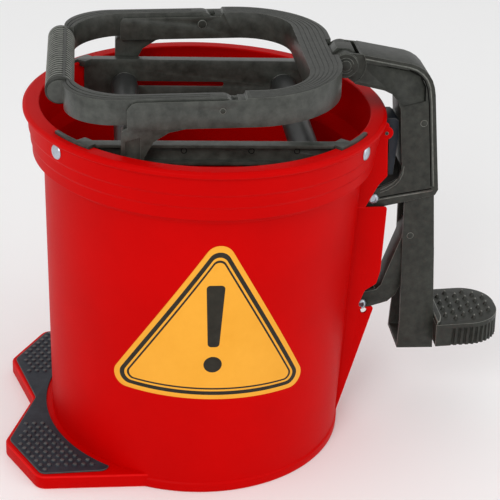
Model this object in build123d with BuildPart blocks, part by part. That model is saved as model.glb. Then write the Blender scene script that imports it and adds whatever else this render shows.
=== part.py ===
from build123d import *
import os
from math import atan2, cos, degrees, radians, sin

os.makedirs("parts", exist_ok=True)

# Foot-operated wringer bucket. Millimetres, +Z up.
# The origin is on the pail's axis at floor level. +X points to the pedal, +Y to the rear crossbar.

# ---- driving dimensions ------------------------------------------------------------------------
pail_height = 312
lip_radius = 155
mouth_radius = 140.7
base_radius = 133.2
shoulder_height = 262
wall = 2.5

toe_height = 13
pad_thickness = 2.5

spine_half_width = 24.7
arm_pivot = (149.2, 228.3)
link_pivot = (149.0, 118.2)
bar_pivot = (187.7, 299.5)
hub = (115.0, 351.0)
bolt_radius = 3.0
running_gap = 0.05

bar_web_inner = 94.7
bar_web_outer = 97.7
bar_flange_outer = 104
crossbar_top = 314
crossbar_bottom = 275

axle_height = 291
axle_radius = 2.35
slot_height = 5
roller_radius = 12
moving_roller_x = -66.6
fixed_roller_x = 79.2
stroke = 87.3

frame_top = 357.7
frame_bottom = 333.5
frame_outer = 116
frame_inner = 98.8
frame_end = 108
frame_skin = 3
frame_tilt = 2

handle_pivot = (3, 347.5)
grip_centre = (-122.8, 348.4)
grip_radius = 11.6
grip_length = 130

arm_half_width = 19
arm_skin = 3
bar_half_width = 14.5
pedal_half_width = 34
pedal_end = 280
pedal_top = 107
pedal_bottom = 84.5
pedal_tilt = 3.5


def along_y(x, z, near, far):
    """Plane at the point (x, z) of the side view, at y = near, looking towards y = far."""
    return Plane(origin=(x, near, z), x_dir=(1, 0, 0), z_dir=(0, 1 if far > near else -1, 0))


def radial(radius, angle, z):
    """Plane that faces outwards at a point of the pail's wall."""
    out = Vector(cos(radians(angle)), sin(radians(angle)), 0)
    return Plane(origin=out * radius + Vector(0, 0, z), z_dir=out)


def polar(radius, angle):
    """Point of the plan view at a radius and an angle in degrees."""
    return (radius * cos(radians(angle)), radius * sin(radians(angle)))


def sector(inner, outer, start, stop):
    """Corners of a ring sector, as straight chords fine enough for its arc."""
    steps = 6
    angles = [start + (stop - start) * i / steps for i in range(steps + 1)]
    return [polar(outer, a) for a in angles] + [polar(inner, a) for a in reversed(angles)]


def side_plane(offset):
    """Side view plane at y = -offset, with sketches in x and z."""
    return Plane.XZ.offset(offset)


# ---- bucket ------------------------------------------------------------------------------------
# Half section of the double-walled pail: inner wall, flat rim and stepped skirt around it.
shoulder_radius = 137.9
skirt_bottom = 268.5
band_steps = [(147.3, skirt_bottom), (147.6, 278.5), (148.9, 280.5), (149.1, 289.5), (150.5, 291.5)]
skirt_top = (150.6, 305.5)
skirt_thickness = 2.4
pail_section = [
    (0, 0),
    (14, 0),
    (17, 3),
    (118, 3),
    (120, 0),
    (134.6, 0),
    (134.6, 8),
    (base_radius, 9.6),
    (shoulder_radius, shoulder_height),
    (mouth_radius + wall, 273),
    (mouth_radius + wall, pail_height - 3),
    (148.1, pail_height - 3),
    (148.1, 291.8),
    *[(r - skirt_thickness, z) for r, z in reversed(band_steps[:-1])],
    *band_steps,
    skirt_top,
    (lip_radius - 0.6, 306.6),
    (lip_radius, 307.4),
    (lip_radius, 310),
    (lip_radius - 0.8, 311.3),
    (lip_radius - 2.6, pail_height),
    (mouth_radius + 1, pail_height),
    (mouth_radius, pail_height - 1),
    (mouth_radius, 274),
    (shoulder_radius - wall, shoulder_height),
    (130.6, 16),
    (129.0, 10),
    (122, 6),
    (0, 6),
]

# Plan of the two toes on the left, where a foot holds the pail down.
toe_plan = [(-174.8, -70), (-144, -125), (-40, -124.2), (-40, 124.2), (-144, 125), (-174.8, 70), (-152, 0)]
pad_plan = [(-170.5, -69), (-141.6, -121.2), (-78, -117.8), (-78, 117.8), (-141.6, 121.2), (-170.5, 69), (-149.3, 0)]
pad_inner_radius = 139.5

# Side view of the spine on the pedal side, with a notch at each pivot.
spine_upper = [
    (140, 302),
    (140, 275),
    (134.6, shoulder_height),
    (133.7, 221.9),
    (141.8, 221.9),
    (151.7, 243.4),
    (158.9, 252.3),
    (156.3, 283.8),
    (156.3, 302),
]
spine_lower = [
    (133.7, 221.9),
    (129.9, 10),
    (131.8, 10),
    (135.8, 26.7),
    (158.5, 122.4),
    (142.4, 119.4),
    (148.9, 139.1),
    (158.6, 145.8),
    (161.2, 158.9),
    (161.5, 222.4),
]
spine_web = [(158.7, 160), (161.2, 158.9), (161.4, 204), (158.9, 204)]
spine_upper_web = [(153.8, 283.5), (156.3, 283.5), (158.7, 254.5), (156.2, 254.5)]
spine_foot_web = [(153.4, 101), (150.7, 101), (132.9, 25), (130.3, 10), (131.8, 10), (135.8, 26.7)]
ear_centre = (154.5, 292.5)
ear_radius = 5.8
ear_hole = 1.6

# The crossbar ends hook over the rim through these notches.
tab_angles = (30.8, 47)
neck_angles = (40.8, 47)
rivet_angle = 33.6
rivet_height = 299
corners = [(sx, sy) for sx in (-1, 1) for sy in (-1, 1)]


def corner_angle(sx, sy, angle):
    """The angle of the front-right quadrant mirrored into the corner (sx, sy)."""
    x, y = polar(1, angle)
    return degrees(atan2(sy * y, sx * x))


with BuildPart() as bucket:
    with BuildSketch(Plane.XZ):
        Polygon(*pail_section, align=None)
    revolve(axis=Axis.Z)
    # toes, hollow underneath
    with BuildSketch():
        with BuildLine():
            FilletPolyline(*toe_plan, radius=9, close=True)
        make_face()
        Circle(base_radius - 1, mode=Mode.SUBTRACT)
    extrude(amount=toe_height)
    with BuildSketch():
        with BuildLine():
            FilletPolyline(*toe_plan, radius=9, close=True)
        make_face()
        offset(amount=-3)
        Circle(136.5, mode=Mode.SUBTRACT)
    extrude(amount=toe_height - wall, mode=Mode.SUBTRACT)
    # spine side walls
    for side in (-1, 1):
        with BuildSketch(side_plane(side * spine_half_width)):
            Polygon(*spine_upper, align=None)
            Polygon(*spine_lower, align=None)
            with Locations(ear_centre):
                Circle(ear_radius)
                Circle(ear_hole, mode=Mode.SUBTRACT)
        extrude(amount=-side * wall)
    # spine back webs
    with BuildSketch(Plane.XZ):
        Polygon(*spine_web, align=None)
        Polygon(*spine_upper_web, align=None)
        Polygon(*spine_foot_web, align=None)
    extrude(amount=spine_half_width - 1, both=True)
    # knuckles for the arm's bolt, a pair with the spring between them
    for side in (-1, 1):
        with BuildSketch(side_plane(side * 10)):
            with Locations(arm_pivot):
                Circle(8.5)
            Polygon((134.2, 245), (151.5, 236.4), (151.5, 220.2), (133.9, 212), align=None)
            with Locations(arm_pivot):
                Circle(bolt_radius, mode=Mode.SUBTRACT)
        extrude(amount=side * 5.4)
    # knuckle for the link's bolt
    with BuildSketch(Plane.XZ):
        with Locations(link_pivot):
            Circle(8)
        Polygon((132.2, 134), (151, 125.9), (151, 110.5), (131.9, 104), align=None)
        with Locations(link_pivot):
            Circle(bolt_radius, mode=Mode.SUBTRACT)
    extrude(amount=7.8, both=True)
    # rim notches, tab slots and rivet holes for the crossbar ends
    for sx, sy in corners:
        tab = [corner_angle(sx, sy, a) for a in tab_angles]
        neck = [corner_angle(sx, sy, a) for a in neck_angles]
        edge = 0.5 if sx * sy > 0 else -0.5
        with BuildSketch(Plane.XY.offset(305)):
            Polygon(*sector(143.4, 147.9, tab[0] - edge, tab[1] + edge), align=None)
        extrude(amount=8, mode=Mode.SUBTRACT)
        with BuildSketch(Plane.XY.offset(308.2)):
            Polygon(*sector(139, 147.9, neck[0] - edge, neck[1] + edge), align=None)
        extrude(amount=8, mode=Mode.SUBTRACT)
        with BuildSketch(radial(136, corner_angle(sx, sy, rivet_angle), rivet_height)):
            Circle(2.5)
        extrude(amount=20, mode=Mode.SUBTRACT)
bucket.part.label = "bucket"
export_step(bucket.part, "parts/bucket.step")

with BuildPart() as foot_tread_pad:
    with BuildSketch(Plane.XY.offset(toe_height)):
        with BuildLine():
            FilletPolyline(*pad_plan, radius=8, close=True)
        make_face()
        Circle(pad_inner_radius, mode=Mode.SUBTRACT)
    extrude(amount=pad_thickness)
foot_tread_pad.part.label = "foot_tread_pad"
export_step(foot_tread_pad.part, "parts/foot_tread_pad.step")

# Generic triangular sticker, wrapped on the front of the pail. Its corners and the middles of its
# sides are laid out flat, as a distance along the wall and a height.
label_flat = [(4.5, 253.3), (-44.5, 176.5), (-93.6, 99.6), (0.6, 96.7), (94.8, 93.9), (49.6, 173.6)]
label_thickness = 0.4
label_offset = 0.02
taper = (shoulder_radius - base_radius) / (shoulder_height - 9.6)


def wall_radius(z):
    """Outer radius of the tapered wall below the shoulder."""
    return base_radius + taper * (z - 9.6)


def wrapped(along, z):
    """Front view of a point at a distance along the wall from the middle of the front."""
    radius = wall_radius(z)
    return (radius * sin(along / radius), z)


with BuildPart() as hazard_label:
    with BuildSketch(Plane.XZ):
        Polygon(
            (wall_radius(60) + label_offset, 60),
            (wall_radius(60) + label_offset + label_thickness, 60),
            (wall_radius(255) + label_offset + label_thickness, 255),
            (wall_radius(255) + label_offset, 255),
            align=None,
        )
    revolve(axis=Axis.Z)
    with BuildSketch(Plane.XZ.offset(90)):
        with BuildLine():
            FilletPolyline(*[wrapped(s, z) for s, z in label_flat], radius=12, close=True)
        make_face()
    extrude(amount=60, mode=Mode.INTERSECT)
hazard_label.part.label = "hazard_label"
export_step(hazard_label.part, "parts/hazard_label.step")

# ---- crossbars ---------------------------------------------------------------------------------
# A crossbar is a web with three outward flanges. Its ends bend over the rim into the tab slots.
slot_start = moving_roller_x - 4
slot_end = moving_roller_x + stroke + 4
bar_half_length = 104
mid_flange = 297
tab_bottom = 292


def crossbar_section(plane_side):
    """Web and flanges of one crossbar in the plane x = const, for y of the given sign."""
    y_in = plane_side * bar_web_inner
    y_web = plane_side * bar_web_outer
    y_out = plane_side * bar_flange_outer
    return [
        (y_in, crossbar_bottom),
        (y_out, crossbar_bottom),
        (y_out, crossbar_bottom + 2.5),
        (y_web, crossbar_bottom + 2.5),
        (y_web, mid_flange),
        (y_out, mid_flange),
        (y_out, mid_flange + 2.5),
        (y_web, mid_flange + 2.5),
        (y_web, crossbar_top - 2.5),
        (y_out, crossbar_top - 2.5),
        (y_out, crossbar_top),
        (y_in, crossbar_top),
    ]


for side, bar_name in ((-1, "front_crossbar"), (1, "rear_crossbar")):
    with BuildPart() as crossbar:
        with BuildSketch(Plane.YZ):
            Polygon(*crossbar_section(side), align=None)
        extrude(amount=bar_half_length, both=True)
        # trimmed to the inside of the pail
        with BuildSketch(Plane.XY.offset(260)):
            Circle(mouth_radius - 0.7)
        extrude(amount=60, mode=Mode.INTERSECT)
        for sx in (-1, 1):
            tab = [corner_angle(sx, side, a) for a in tab_angles]
            neck = [corner_angle(sx, side, a) for a in neck_angles]
            with BuildSketch(Plane.XY.offset(308.6)):
                Polygon(*sector(135.5, 147.3, *neck), align=None)
            extrude(amount=crossbar_top - 308.6)
            with BuildSketch(Plane.XY.offset(tab_bottom)):
                Polygon(*sector(144.1, 147.3, *tab), align=None)
            extrude(amount=crossbar_top - tab_bottom)
            with BuildSketch(radial(136, corner_angle(sx, side, rivet_angle), rivet_height)):
                Circle(2.5)
            extrude(amount=20, mode=Mode.SUBTRACT)
        # slot for the moving roller's axle, hole for the fixed one
        with BuildSketch(Plane.XZ):
            with Locations(((slot_start + slot_end) / 2, axle_height)):
                SlotOverall(slot_end - slot_start, slot_height)
            with Locations((fixed_roller_x, axle_height)):
                Circle(axle_radius)
        extrude(amount=-side * 130, mode=Mode.SUBTRACT)
    crossbar.part.label = bar_name
    export_step(crossbar.part, f"parts/{bar_name}.step")

with BuildPart() as crossbar_rivets:
    for sx, sy in corners:
        angle = corner_angle(sx, sy, rivet_angle)
        with BuildSketch(radial(138.7, angle, rivet_height)):
            Circle(5)
        extrude(amount=1.7)
        with BuildSketch(radial(138.7, angle, rivet_height)):
            Circle(2.5)
        extrude(amount=13)
        with BuildSketch(radial(150.75, angle, rivet_height)):
            Circle(6.2)
        extrude(amount=2, taper=35)
crossbar_rivets.part.label = "crossbar_rivets"
export_step(crossbar_rivets.part, "parts/crossbar_rivets.step")

# ---- rollers -----------------------------------------------------------------------------------
roller_half_length = 92
bush_flange = 2
fixed_axle_half = 102
moving_axle_half = 117.4
nut_radius = 5.2

roller_sets = (
    ("fixed", fixed_roller_x, fixed_axle_half, 98.2),
    ("moving", moving_roller_x, moving_axle_half, 115.3),
)
for set_name, x, half_axle, nut_start in roller_sets:
    with BuildPart() as roller:
        with BuildSketch(along_y(x, axle_height, -roller_half_length, 0)):
            Circle(roller_radius)
            Circle(9, mode=Mode.SUBTRACT)
        extrude(amount=2 * roller_half_length)
    roller.part.label = f"{set_name}_roller"
    export_step(roller.part, f"parts/{set_name}_roller.step")

    with BuildPart() as bushes:
        for side in (-1, 1):
            with BuildSketch(along_y(x, axle_height, side * (roller_half_length - 14), 0)):
                Circle(9)
                Circle(axle_radius + running_gap, mode=Mode.SUBTRACT)
            extrude(amount=-14)
            with BuildSketch(along_y(x, axle_height, side * roller_half_length, 0)):
                Circle(roller_radius - 1)
                Circle(axle_radius + running_gap, mode=Mode.SUBTRACT)
            extrude(amount=-bush_flange)
    bushes.part.label = f"{set_name}_roller_bushes"
    export_step(bushes.part, f"parts/{set_name}_roller_bushes.step")

    with BuildPart() as axle:
        with BuildSketch(along_y(x, axle_height, -half_axle, 0)):
            Circle(axle_radius)
        extrude(amount=2 * half_axle)
        chamfer(axle.edges().filter_by(GeomType.CIRCLE), 0.5)
    axle.part.label = f"{set_name}_roller_axle"
    export_step(axle.part, f"parts/{set_name}_roller_axle.step")

    with BuildPart() as nuts:
        for side in (-1, 1):
            with BuildSketch(along_y(x, axle_height, side * nut_start, 0)):
                Circle(nut_radius)
                Circle(axle_radius, mode=Mode.SUBTRACT)
            extrude(amount=-1.4)
    nuts.part.label = f"{set_name}_axle_nuts"
    export_step(nuts.part, f"parts/{set_name}_axle_nuts.step")

with BuildPart() as slide_washers:
    for side in (-1, 1):
        with BuildSketch(along_y(moving_roller_x, axle_height, side * (bar_flange_outer + 0.4), 0)):
            Circle(5.5)
            Circle(axle_radius, mode=Mode.SUBTRACT)
        extrude(amount=-1.2)
slide_washers.part.label = "slide_washers"
export_step(slide_washers.part, "parts/slide_washers.step")

# ---- press frame -------------------------------------------------------------------------------
# Plan of the loop, with a bay in its closed end for the arm's fork. The loop and the carry handle
# are drawn level, then tilted together about the handle's pivot, higher on the pedal side.
tilt_axis = Axis((handle_pivot[0], 0, handle_pivot[1]), (0, 1, 0))
bay_depth = frame_end - 102.8
bay_half = 20
frame_left = -71
open_end_radius = 9
channel_end = 20
channel_inner = 101
channel_outer = 113.7
outer_plate_top = 356
inner_plate_top = 354
leg_inner = 105.8
leg_outer = 115.2
leg_bottom = 279
leg_side = [
    (-75, leg_bottom),
    (-57, leg_bottom),
    (-57, 308),
    (-50, 321),
    (-38, 329),
    (-24, 332.4),
    (-22.5, 334.2),
    (-70, 332.8),
    (-73, 331.5),
    (-75, 329),
]
leg_pocket = [(-72, 283), (-60, 283), (-60, 325), (-72, 321)]
leg_pocket_depth = 1.5
tongue_half = 8.5
tongue_side = [
    (100, 338),
    (100, frame_top),
    (105, 359.5),
    (108, 363),
    (122, 363),
    (124, 360),
    (124, 341),
    (121, 337.6),
    (104, 337.6),
]
hub_slot_up = 5.6
hub_slot_down = 6.6
hub_pin_radius = 3.5
hub_slot_half_width = 4.1

with BuildPart() as level_loop:
    with BuildSketch(Plane.XY.offset(frame_bottom)):
        with BuildLine():
            FilletPolyline(
                (frame_left, -frame_outer),
                (frame_end, -frame_outer),
                (frame_end, frame_outer),
                (frame_left, frame_outer),
                radius=80,
            )
            Line((frame_left, frame_outer), (frame_left, -frame_outer))
        make_face()
        with BuildLine():
            FilletPolyline(
                (frame_left - 1, -frame_inner),
                (fixed_roller_x, -frame_inner),
                (fixed_roller_x, frame_inner),
                (frame_left - 1, frame_inner),
                radius=45,
            )
            Line((frame_left - 1, frame_inner), (frame_left - 1, -frame_inner))
        make_face(mode=Mode.SUBTRACT)
        with Locations((frame_end, 0)):
            Rectangle(2 * bay_depth, 2 * bay_half, mode=Mode.SUBTRACT)
    extrude(amount=frame_top - frame_bottom)
    # side plates a little lower than the closed end
    with BuildSketch(Plane.XZ):
        Polygon(
            (frame_left - 1, outer_plate_top),
            (channel_end + 1, outer_plate_top),
            (channel_end + 3, frame_top + 1),
            (frame_left - 1, frame_top + 1),
            align=None,
        )
    extrude(amount=frame_outer + 1, both=True, mode=Mode.SUBTRACT)
    fillet(level_loop.edges().filter_by(Axis.Y).group_by(Axis.X)[0].group_by(Axis.Z)[-1], open_end_radius)
    with BuildSketch(Plane.XZ):
        Polygon(
            (frame_left - 1, inner_plate_top),
            (channel_end, inner_plate_top),
            (channel_end + 2, outer_plate_top + 1),
            (frame_left - 1, outer_plate_top + 1),
            align=None,
        )
    extrude(amount=channel_inner + 1, both=True, mode=Mode.SUBTRACT)
    # hollow underside of the closed end
    with BuildSketch(Plane.XY.offset(frame_bottom)):
        with BuildLine():
            FilletPolyline(
                (channel_end + 4, -frame_outer + frame_skin),
                (frame_end - frame_skin, -frame_outer + frame_skin),
                (frame_end - frame_skin, frame_outer - frame_skin),
                (channel_end + 4, frame_outer - frame_skin),
                radius=77,
            )
            Line((channel_end + 4, frame_outer - frame_skin), (channel_end + 4, -frame_outer + frame_skin))
        make_face()
        with BuildLine():
            FilletPolyline(
                (channel_end, -frame_inner - frame_skin),
                (fixed_roller_x + frame_skin, -frame_inner - frame_skin),
                (fixed_roller_x + frame_skin, frame_inner + frame_skin),
                (channel_end, frame_inner + frame_skin),
                radius=48,
            )
            Line((channel_end, frame_inner + frame_skin), (channel_end, -frame_inner - frame_skin))
        make_face(mode=Mode.SUBTRACT)
        with Locations((frame_end, 0)):
            Rectangle(2 * (bay_depth + frame_skin), 2 * (bay_half + frame_skin), mode=Mode.SUBTRACT)
    extrude(amount=frame_top - frame_bottom - frame_skin, mode=Mode.SUBTRACT)
    # channels between the side plates, in which the carry handle's arms nest
    for side in (-1, 1):
        with BuildSketch(side_plane(-side * channel_inner)):
            Polygon(
                (frame_left - 1, frame_bottom + 3),
                (channel_end - 5.8, frame_bottom + 3),
                (channel_end - 5.8, frame_top - 7.7),
                (channel_end - 4.5, frame_top + 1),
                (frame_left - 1, frame_top + 1),
                align=None,
            )
        extrude(amount=-side * (channel_outer - channel_inner), mode=Mode.SUBTRACT)
        with BuildSketch(side_plane(-side * frame_outer)):
            with Locations(handle_pivot):
                Circle(2.5)
        extrude(amount=side * (frame_outer - frame_inner + 1), mode=Mode.SUBTRACT)

with BuildPart() as press_frame:
    add(level_loop.part.rotate(tilt_axis, -frame_tilt))
    # legs that carry the moving roller's axle
    for side in (-1, 1):
        with BuildSketch(side_plane(-side * leg_inner)):
            Polygon(*leg_side, align=None)
            with Locations((moving_roller_x, axle_height)):
                Circle(axle_radius, mode=Mode.SUBTRACT)
        extrude(amount=-side * (leg_outer - leg_inner))
        with BuildSketch(side_plane(-side * leg_outer)):
            Polygon(*leg_pocket, align=None)
            with Locations((moving_roller_x, axle_height)):
                Circle(6.5, mode=Mode.SUBTRACT)
        extrude(amount=side * leg_pocket_depth, mode=Mode.SUBTRACT)
    # tongue with an upright slot for the arm's hub pin
    with BuildSketch(Plane.XZ):
        Polygon(*tongue_side, align=None)
        with Locations((hub[0], hub[1] + (hub_slot_up - hub_slot_down) / 2)):
            SlotOverall(
                hub_slot_up + hub_slot_down + 2 * hub_slot_half_width,
                2 * hub_slot_half_width,
                rotation=90,
                mode=Mode.SUBTRACT,
            )
    extrude(amount=tongue_half, both=True)
press_frame.part.label = "press_frame"
export_step(press_frame.part, "parts/press_frame.step")

# ---- carry handle ------------------------------------------------------------------------------
handle_gap = 0.5
handle_bottom = frame_bottom + 3 + handle_gap
handle_outer = channel_outer - handle_gap
handle_inner = channel_inner + handle_gap
handle_arm = handle_outer - handle_inner
handle_end = -120
handle_end_inner = -113.5
core_radius = 6

with BuildPart() as level_handle:
    with BuildSketch(Plane.XY.offset(handle_bottom)):
        with BuildLine():
            FilletPolyline(
                (handle_pivot[0], -handle_outer),
                (handle_end, -handle_outer),
                (handle_end, handle_outer),
                (handle_pivot[0], handle_outer),
                radius=42,
            )
            Line((handle_pivot[0], handle_outer), (handle_pivot[0], -handle_outer))
        make_face()
        with BuildLine():
            FilletPolyline(
                (handle_pivot[0] + 1, -handle_inner),
                (handle_end_inner, -handle_inner),
                (handle_end_inner, handle_inner),
                (handle_pivot[0] + 1, handle_inner),
                radius=48,
            )
            Line((handle_pivot[0] + 1, handle_inner), (handle_pivot[0] + 1, -handle_inner))
        make_face(mode=Mode.SUBTRACT)
    extrude(amount=frame_top - handle_bottom)
    # round core inside the grip, between two collars
    with BuildSketch(Plane.XZ):
        with Locations(grip_centre):
            Rectangle(4 * grip_radius, 4 * grip_radius)
    extrude(amount=grip_length / 2, both=True, mode=Mode.SUBTRACT)
    with BuildSketch(along_y(*grip_centre, -grip_length / 2 - 2, 0)):
        Circle(core_radius)
    extrude(amount=grip_length + 4)
    for side in (-1, 1):
        with BuildSketch(along_y(*grip_centre, side * grip_length / 2, 0)):
            Circle(grip_radius - 2)
        extrude(amount=-2.5)
        with BuildSketch(side_plane(-side * handle_inner)):
            with Locations(handle_pivot):
                Circle(10.2)
        extrude(amount=-side * handle_arm)
        with BuildSketch(side_plane(-side * handle_inner)):
            with Locations(handle_pivot):
                Circle(2.5 + running_gap)
        extrude(amount=-side * handle_arm, mode=Mode.SUBTRACT)

with BuildPart() as carry_handle:
    add(level_handle.part.rotate(tilt_axis, -frame_tilt))
carry_handle.part.label = "carry_handle"
export_step(carry_handle.part, "parts/carry_handle.step")

with BuildPart() as level_grip:
    with BuildSketch(along_y(*grip_centre, -grip_length / 2, 0)):
        Circle(grip_radius)
        Circle(core_radius, mode=Mode.SUBTRACT)
    extrude(amount=grip_length)

with BuildPart() as handle_grip:
    add(level_grip.part.rotate(tilt_axis, -frame_tilt))
handle_grip.part.label = "handle_grip"
export_step(handle_grip.part, "parts/handle_grip.step")

with BuildPart() as handle_pivot_pins:
    for side in (-1, 1):
        with BuildSketch(along_y(*handle_pivot, side * (frame_inner - 1.6), 0)):
            Circle(2.5)
        extrude(amount=-(frame_outer - frame_inner + 1.6))
        with BuildSketch(along_y(*handle_pivot, side * (frame_inner - 1.8), 0)):
            Circle(4)
        extrude(amount=-1.8)
handle_pivot_pins.part.label = "handle_pivot_pins"
export_step(handle_pivot_pins.part, "parts/handle_pivot_pins.step")

# ---- press arm ---------------------------------------------------------------------------------
# Side view of the C-shaped arm, from the hub over the lip and down to its pivot on the spine.
arm_outline = [
    (117, 361.8),
    (130, 360.6),
    (172, 353.1),
    (178, 351),
    (183.4, 347.8),
    (187.8, 343.6),
    (191.2, 338.4),
    (193.6, 332.4),
    (195.1, 325.6),
    (196, 318.5),
    (207, 236.6),
    (204.7, 231.6),
    (170.6, 223.2),
    (152, 218.9),
    (149.2, 218.6),
    (143, 220.8),
    (139.6, 226),
    (140.6, 232.6),
    (145.5, 237.4),
    (153, 238),
    (165, 243.5),
    (170.5, 248),
    (172.4, 255),
    (171.8, 262),
    (166, 312),
    (163, 319),
    (157, 326),
    (150, 329.2),
    (125, 334.7),
    (117, 340.2),
]
# Space between the side cheeks: open below, at the outside and at the fork.
arm_cavity = [
    (112, 364),
    (126.5, 364),
    (127, 358.1),
    (171.5, 350.1),
    (176.6, 348.3),
    (181.5, 345.4),
    (185.4, 341.7),
    (188.4, 337.1),
    (190.7, 331.5),
    (192.2, 325),
    (212, 325),
    (212, 215),
    (135, 210),
    (135, 246),
    (164, 258),
    (174.8, 258),
    (169, 312.8),
    (165.6, 321),
    (159, 328.6),
    (150.8, 332.2),
    (133.5, 336),
    (130, 330),
    (112, 330),
]
hub_radius = 11
step_radius = 17.5
step_depth = 1.2
boss_inner = tongue_half + 0.7

with BuildPart() as press_arm:
    with BuildSketch(Plane.XZ):
        Polygon(*arm_outline, align=None)
        with Locations(hub):
            Circle(hub_radius)
    extrude(amount=arm_half_width, both=True)
    with BuildSketch(Plane.XZ):
        Polygon(*arm_cavity, align=None)
    extrude(amount=arm_half_width - arm_skin, both=True, mode=Mode.SUBTRACT)
    # hub bosses either side of the frame's tongue
    with BuildSketch(Plane.XZ):
        with Locations(hub):
            Circle(hub_radius)
    extrude(amount=arm_half_width - step_depth, both=True)
    with BuildSketch(Plane.XZ):
        with Locations(hub):
            Rectangle(2 * hub_radius + 1, 2 * hub_radius + 1)
    extrude(amount=boss_inner, both=True, mode=Mode.SUBTRACT)
    for side in (-1, 1):
        with BuildSketch(side_plane(side * (arm_half_width - step_depth))):
            with Locations(hub):
                Circle(step_radius)
                Circle(hub_radius, mode=Mode.SUBTRACT)
        extrude(amount=side * 5, mode=Mode.SUBTRACT)
    # bolt, hub and bar pivot holes
    with BuildSketch(Plane.XZ):
        with Locations(arm_pivot):
            Circle(bolt_radius + running_gap)
        with Locations(hub):
            Circle(hub_pin_radius)
        with Locations(bar_pivot):
            Circle(bolt_radius)
    extrude(amount=30, both=True, mode=Mode.SUBTRACT)
press_arm.part.label = "press_arm"
export_step(press_arm.part, "parts/press_arm.step")

with BuildPart() as hub_pin:
    with BuildSketch(along_y(*hub, -19.2, 0)):
        Circle(hub_pin_radius)
    extrude(amount=38.4)
    for side in (-1, 1):
        with BuildSketch(along_y(*hub, side * 19, 0)):
            Circle(4.6)
        extrude(amount=-0.8)
hub_pin.part.label = "hub_pin"
export_step(hub_pin.part, "parts/hub_pin.step")

with BuildPart() as arm_pivot_bolt:
    with BuildSketch(along_y(*arm_pivot, -21.6, 0)):
        Circle(bolt_radius)
    extrude(amount=43.2)
    for side in (-1, 1):
        with BuildSketch(along_y(*arm_pivot, side * 19.1, 0)):
            Circle(5)
        extrude(amount=-2.7)
arm_pivot_bolt.part.label = "arm_pivot_bolt"
export_step(arm_pivot_bolt.part, "parts/arm_pivot_bolt.step")

# Torsion spring round the arm's bolt. Its fixed leg lies along the pail, the other points up.
spring_radius = 6
spring_wire = 0.8
spring_pitch = 2.2
spring_turns = 7
spring_half = spring_pitch * spring_turns / 2
spring_leg = 16
spring_turn_in = 90

with BuildPart() as return_spring:
    with BuildLine() as coil:
        turns = Helix(
            pitch=spring_pitch,
            height=2 * spring_half,
            radius=spring_radius,
            center=(arm_pivot[0], -spring_half, arm_pivot[1]),
            direction=(0, 1, 0),
            mode=Mode.PRIVATE,
        )
        add(turns.rotate(Axis((arm_pivot[0], 0, arm_pivot[1]), (0, 1, 0)), spring_turn_in))
    with BuildSketch(Plane(origin=coil.line @ 0, z_dir=coil.line % 0)):
        Circle(spring_wire)
    sweep(path=coil.line, is_frenet=True)
    with BuildSketch(Plane(origin=coil.line @ 0, z_dir=-(coil.line % 0))):
        Circle(spring_wire)
    extrude(amount=spring_leg)
    with BuildSketch(Plane(origin=coil.line @ 1, z_dir=coil.line % 1)):
        Circle(spring_wire)
    extrude(amount=spring_leg)
return_spring.part.label = "return_spring"
export_step(return_spring.part, "parts/return_spring.step")

# Rubber stop between the spine's ears, with a lip that hangs down behind the resting arm.
bumper_side = [
    (151.2, 286),
    (159.4, 286),
    (160.6, 262),
    (162, 249),
    (166, 249),
    (167.8, 286),
    (166.5, 300),
    (163.5, 302),
    (152, 302),
]

with BuildPart() as stop_bumper:
    with BuildSketch(Plane.XZ):
        Polygon(*bumper_side, align=None)
        with Locations(ear_centre):
            Circle(ear_hole, mode=Mode.SUBTRACT)
    extrude(amount=14, both=True)
stop_bumper.part.label = "stop_bumper"
export_step(stop_bumper.part, "parts/stop_bumper.step")

with BuildPart() as bumper_pin:
    with BuildSketch(along_y(*ear_centre, -spine_half_width - 0.8, 0)):
        Circle(ear_hole)
    extrude(amount=2 * spine_half_width + 1.6)
bumper_pin.part.label = "bumper_pin"
export_step(bumper_pin.part, "parts/bumper_pin.step")

# ---- pedal linkage -----------------------------------------------------------------------------
# The bar hangs from the arm and the link, which stay parallel.
link_top = (link_pivot[0] + bar_pivot[0] - arm_pivot[0], link_pivot[1] + bar_pivot[1] - arm_pivot[1])
link_half_width = 11.4
link_outline = [
    (145.8, 111.2),
    (173.6, 120.3),
    (180.5, 127.6),
    (184.5, 138.3),
    (190, 158),
    (200.5, 182),
    (201.5, 192),
    (198, 198),
    (190, 200.5),
    (184, 198),
    (181, 191),
    (179.8, 184),
    (176.8, 174.5),
    (173.3, 162.5),
    (170.8, 154.5),
    (168.3, 146),
    (166, 137.5),
    (162, 132.8),
    (151, 130.1),
    (143.5, 125),
    (141, 118.5),
    (142.3, 113.5),
]
fork_half_width = 8.4

with BuildPart() as lower_link:
    with BuildSketch(Plane.XZ):
        Polygon(*link_outline, align=None)
    extrude(amount=link_half_width, both=True)
    with BuildSketch(Plane.XZ):
        Polygon((130, 100), (165, 100), (165, 122), (158, 140), (130, 140), align=None)
    extrude(amount=fork_half_width, both=True, mode=Mode.SUBTRACT)
    with BuildSketch(Plane.XZ):
        with Locations(link_pivot, link_top):
            Circle(bolt_radius + running_gap)
    extrude(amount=20, both=True, mode=Mode.SUBTRACT)
lower_link.part.label = "lower_link"
export_step(lower_link.part, "parts/lower_link.step")

with BuildPart() as link_pivot_bolt:
    with BuildSketch(along_y(*link_pivot, -13.6, 0)):
        Circle(bolt_radius)
    extrude(amount=27.2)
    for side in (-1, 1):
        with BuildSketch(along_y(*link_pivot, side * 11.6, 0)):
            Circle(5)
        extrude(amount=-2.6)
link_pivot_bolt.part.label = "link_pivot_bolt"
export_step(link_pivot_bolt.part, "parts/link_pivot_bolt.step")

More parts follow.
